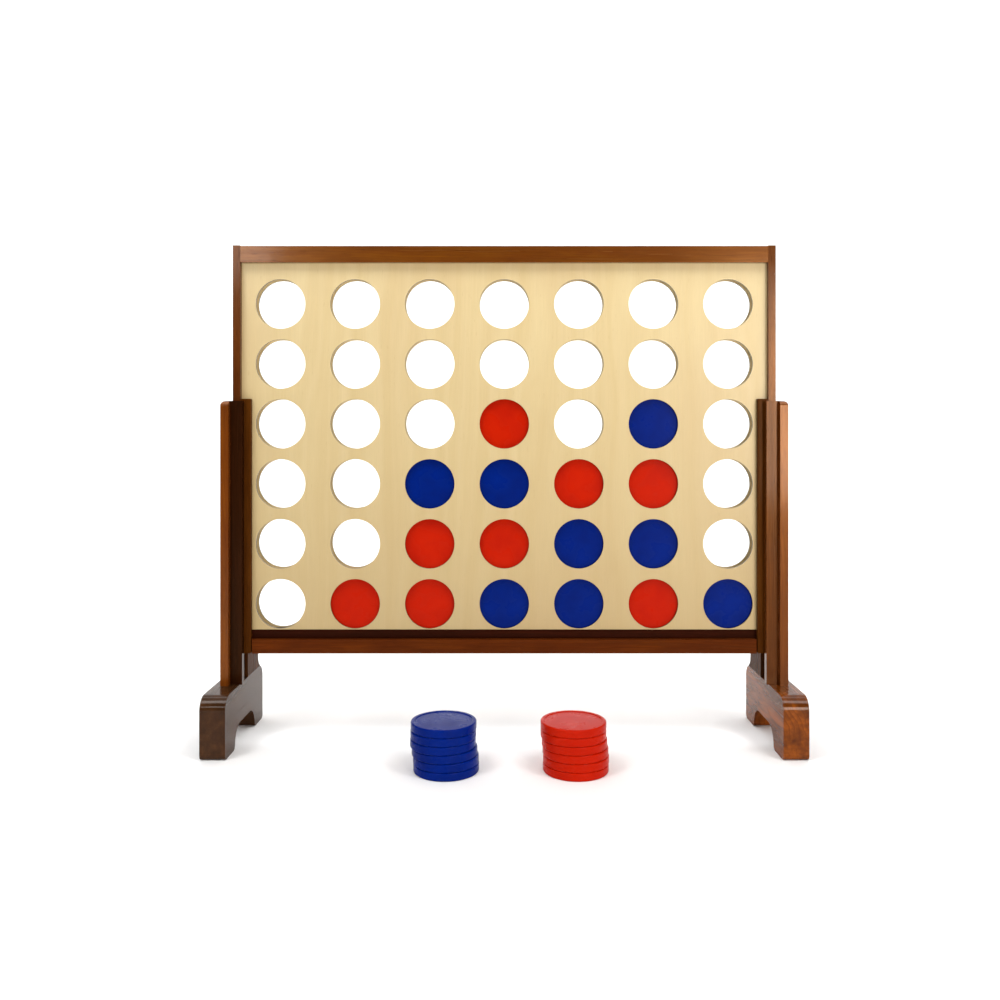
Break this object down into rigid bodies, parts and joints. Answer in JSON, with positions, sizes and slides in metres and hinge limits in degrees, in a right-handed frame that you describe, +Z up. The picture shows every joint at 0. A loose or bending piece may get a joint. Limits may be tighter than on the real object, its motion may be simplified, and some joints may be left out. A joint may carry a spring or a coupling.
{
  "type": "giant four in a row",
  "caption": "Giant lawn game with an upright slotted board in drop-in stands, a pull-out release bar, coloured discs in its lanes and loose stacks of spare discs.",
  "frame": {"origin": "on the floor, at the middle of everything's footprint, spare stacks included; the board's middle plane is 43.8 mm behind it", "axes": "+X to the right of a player at the front, +Y towards the back of the board, +Z up"},
  "size_m": [0.966, 0.3096, 0.8355],
  "materials": {
    "birch_plywood": "satin varnish",
    "frame_wood": "glossy dark stain",
    "stand_wood": "glossy dark stain",
    "divider_wood": "plain planed wood",
    "release_bar_wood": "glossy dark stain",
    "red_plastic": "gloss",
    "blue_plastic": "gloss",
    "steel": "zinc plated"
  },
  "bodies": {
    "board": {"front_panel": "birch_plywood", "back_panel": "birch_plywood", "left_side_rail": "frame_wood", "right_side_rail": "frame_wood", "front_top_rail": "frame_wood", "back_top_rail": "frame_wood", "front_bottom_rail": "frame_wood", "back_bottom_rail": "frame_wood", "left_cleat": "frame_wood", "right_cleat": "frame_wood", "lane_dividers": "divider_wood", "lane_end_strips": "divider_wood", "frame_screws": "steel", "back_panel_screws": "steel"},
    "release_bar": {"release_bar": "release_bar_wood"},
    "left_stand": {"left_foot": "stand_wood", "left_outer_post": "stand_wood", "left_front_post": "stand_wood", "left_rear_post": "stand_wood", "left_rest_block": "stand_wood", "left_locating_pin": "steel", "left_stand_screws": "steel"},
    "right_stand": {"right_foot": "stand_wood", "right_outer_post": "stand_wood", "right_front_post": "stand_wood", "right_rear_post": "stand_wood", "right_rest_block": "stand_wood", "right_locating_pin": "steel", "right_stand_screws": "steel"},
    "red_disc_lane2_row1": {"red_disc_lane2_row1": "red_plastic"},
    "red_disc_lane3_row1": {"red_disc_lane3_row1": "red_plastic"},
    "red_disc_lane3_row2": {"red_disc_lane3_row2": "red_plastic"},
    "blue_disc_lane3_row3": {"blue_disc_lane3_row3": "blue_plastic"},
    "blue_disc_lane4_row1": {"blue_disc_lane4_row1": "blue_plastic"},
    "red_disc_lane4_row2": {"red_disc_lane4_row2": "red_plastic"},
    "blue_disc_lane4_row3": {"blue_disc_lane4_row3": "blue_plastic"},
    "red_disc_lane4_row4": {"red_disc_lane4_row4": "red_plastic"},
    "blue_disc_lane5_row1": {"blue_disc_lane5_row1": "blue_plastic"},
    "blue_disc_lane5_row2": {"blue_disc_lane5_row2": "blue_plastic"},
    "red_disc_lane5_row3": {"red_disc_lane5_row3": "red_plastic"},
    "red_disc_lane6_row1": {"red_disc_lane6_row1": "red_plastic"},
    "blue_disc_lane6_row2": {"blue_disc_lane6_row2": "blue_plastic"},
    "red_disc_lane6_row3": {"red_disc_lane6_row3": "red_plastic"},
    "blue_disc_lane6_row4": {"blue_disc_lane6_row4": "blue_plastic"},
    "blue_disc_lane7_row1": {"blue_disc_lane7_row1": "blue_plastic"},
    "blue_stack_disc_1": {"blue_stack_disc_1": "blue_plastic"},
    "blue_stack_disc_2": {"blue_stack_disc_2": "blue_plastic"},
    "blue_stack_disc_3": {"blue_stack_disc_3": "blue_plastic"},
    "blue_stack_disc_4": {"blue_stack_disc_4": "blue_plastic"},
    "blue_stack_disc_5": {"blue_stack_disc_5": "blue_plastic"},
    "blue_stack_disc_6": {"blue_stack_disc_6": "blue_plastic"},
    "red_stack_disc_1": {"red_stack_disc_1": "red_plastic"},
    "red_stack_disc_2": {"red_stack_disc_2": "red_plastic"},
    "red_stack_disc_3": {"red_stack_disc_3": "red_plastic"},
    "red_stack_disc_4": {"red_stack_disc_4": "red_plastic"},
    "red_stack_disc_5": {"red_stack_disc_5": "red_plastic"},
    "red_stack_disc_6": {"red_stack_disc_6": "red_plastic"}
  },
  "joints": [
    {"name": "release_bar_pull", "type": "slide", "parent": "board", "child": "release_bar", "axis": [1, 0, 0], "range_m": [0, 0.92]},
    {"name": "left_stand_lift_off", "type": "slide", "parent": "board", "child": "left_stand", "axis": [0, 0, -1], "range_m": [0, 0.45]},
    {"name": "right_stand_lift_off", "type": "slide", "parent": "board", "child": "right_stand", "axis": [0, 0, -1], "range_m": [0, 0.45]},
    {"name": "red_disc_lane2_row1_lift", "type": "slide", "parent": "board", "child": "red_disc_lane2_row1", "axis": [0, 0, 1], "range_m": [0, 0.657]},
    {"name": "red_disc_lane3_row1_lift", "type": "slide", "parent": "board", "child": "red_disc_lane3_row1", "axis": [0, 0, 1], "range_m": [0, 0.657]},
    {"name": "red_disc_lane3_row2_lift", "type": "slide", "parent": "red_disc_lane3_row1", "child": "red_disc_lane3_row2", "axis": [0, 0, 1], "range_m": [0, 0.5554]},
    {"name": "blue_disc_lane3_row3_lift", "type": "slide", "parent": "red_disc_lane3_row2", "child": "blue_disc_lane3_row3", "axis": [0, 0, 1], "range_m": [0, 0.4538]},
    {"name": "blue_disc_lane4_row1_lift", "type": "slide", "parent": "board", "child": "blue_disc_lane4_row1", "axis": [0, 0, 1], "range_m": [0, 0.657]},
    {"name": "red_disc_lane4_row2_lift", "type": "slide", "parent": "blue_disc_lane4_row1", "child": "red_disc_lane4_row2", "axis": [0, 0, 1], "range_m": [0, 0.5554]},
    {"name": "blue_disc_lane4_row3_lift", "type": "slide", "parent": "red_disc_lane4_row2", "child": "blue_disc_lane4_row3", "axis": [0, 0, 1], "range_m": [0, 0.4538]},
    {"name": "red_disc_lane4_row4_lift", "type": "slide", "parent": "blue_disc_lane4_row3", "child": "red_disc_lane4_row4", "axis": [0, 0, 1], "range_m": [0, 0.3522]},
    {"name": "blue_disc_lane5_row1_lift", "type": "slide", "parent": "board", "child": "blue_disc_lane5_row1", "axis": [0, 0, 1], "range_m": [0, 0.657]},
    {"name": "blue_disc_lane5_row2_lift", "type": "slide", "parent": "blue_disc_lane5_row1", "child": "blue_disc_lane5_row2", "axis": [0, 0, 1], "range_m": [0, 0.5554]},
    {"name": "red_disc_lane5_row3_lift", "type": "slide", "parent": "blue_disc_lane5_row2", "child": "red_disc_lane5_row3", "axis": [0, 0, 1], "range_m": [0, 0.4538]},
    {"name": "red_disc_lane6_row1_lift", "type": "slide", "parent": "board", "child": "red_disc_lane6_row1", "axis": [0, 0, 1], "range_m": [0, 0.657]},
    {"name": "blue_disc_lane6_row2_lift", "type": "slide", "parent": "red_disc_lane6_row1", "child": "blue_disc_lane6_row2", "axis": [0, 0, 1], "range_m": [0, 0.5554]},
    {"name": "red_disc_lane6_row3_lift", "type": "slide", "parent": "blue_disc_lane6_row2", "child": "red_disc_lane6_row3", "axis": [0, 0, 1], "range_m": [0, 0.4538]},
    {"name": "blue_disc_lane6_row4_lift", "type": "slide", "parent": "red_disc_lane6_row3", "child": "blue_disc_lane6_row4", "axis": [0, 0, 1], "range_m": [0, 0.3522]},
    {"name": "blue_disc_lane7_row1_lift", "type": "slide", "parent": "board", "child": "blue_disc_lane7_row1", "axis": [0, 0, 1], "range_m": [0, 0.657]},
    {"name": "blue_stack_disc_1_lift", "type": "slide", "parent": "board", "child": "blue_stack_disc_1", "axis": [0, 0, 1], "range_m": [0, 0.15]},
    {"name": "blue_stack_disc_2_lift", "type": "slide", "parent": "blue_stack_disc_1", "child": "blue_stack_disc_2", "axis": [0, 0, 1], "range_m": [0, 0.15]},
    {"name": "blue_stack_disc_3_lift", "type": "slide", "parent": "blue_stack_disc_2", "child": "blue_stack_disc_3", "axis": [0, 0, 1], "range_m": [0, 0.15]},
    {"name": "blue_stack_disc_4_lift", "type": "slide", "parent": "blue_stack_disc_3", "child": "blue_stack_disc_4", "axis": [0, 0, 1], "range_m": [0, 0.15]},
    {"name": "blue_stack_disc_5_lift", "type": "slide", "parent": "blue_stack_disc_4", "child": "blue_stack_disc_5", "axis": [0, 0, 1], "range_m": [0, 0.15]},
    {"name": "blue_stack_disc_6_lift", "type": "slide", "parent": "blue_stack_disc_5", "child": "blue_stack_disc_6", "axis": [0, 0, 1], "range_m": [0, 0.15]},
    {"name": "red_stack_disc_1_lift", "type": "slide", "parent": "board", "child": "red_stack_disc_1", "axis": [0, 0, 1], "range_m": [0, 0.15]},
    {"name": "red_stack_disc_2_lift", "type": "slide", "parent": "red_stack_disc_1", "child": "red_stack_disc_2", "axis": [0, 0, 1], "range_m": [0, 0.15]},
    {"name": "red_stack_disc_3_lift", "type": "slide", "parent": "red_stack_disc_2", "child": "red_stack_disc_3", "axis": [0, 0, 1], "range_m": [0, 0.15]},
    {"name": "red_stack_disc_4_lift", "type": "slide", "parent": "red_stack_disc_3", "child": "red_stack_disc_4", "axis": [0, 0, 1], "range_m": [0, 0.15]},
    {"name": "red_stack_disc_5_lift", "type": "slide", "parent": "red_stack_disc_4", "child": "red_stack_disc_5", "axis": [0, 0, 1], "range_m": [0, 0.15]},
    {"name": "red_stack_disc_6_lift", "type": "slide", "parent": "red_stack_disc_5", "child": "red_stack_disc_6", "axis": [0, 0, 1], "range_m": [0, 0.15]}
  ]
}
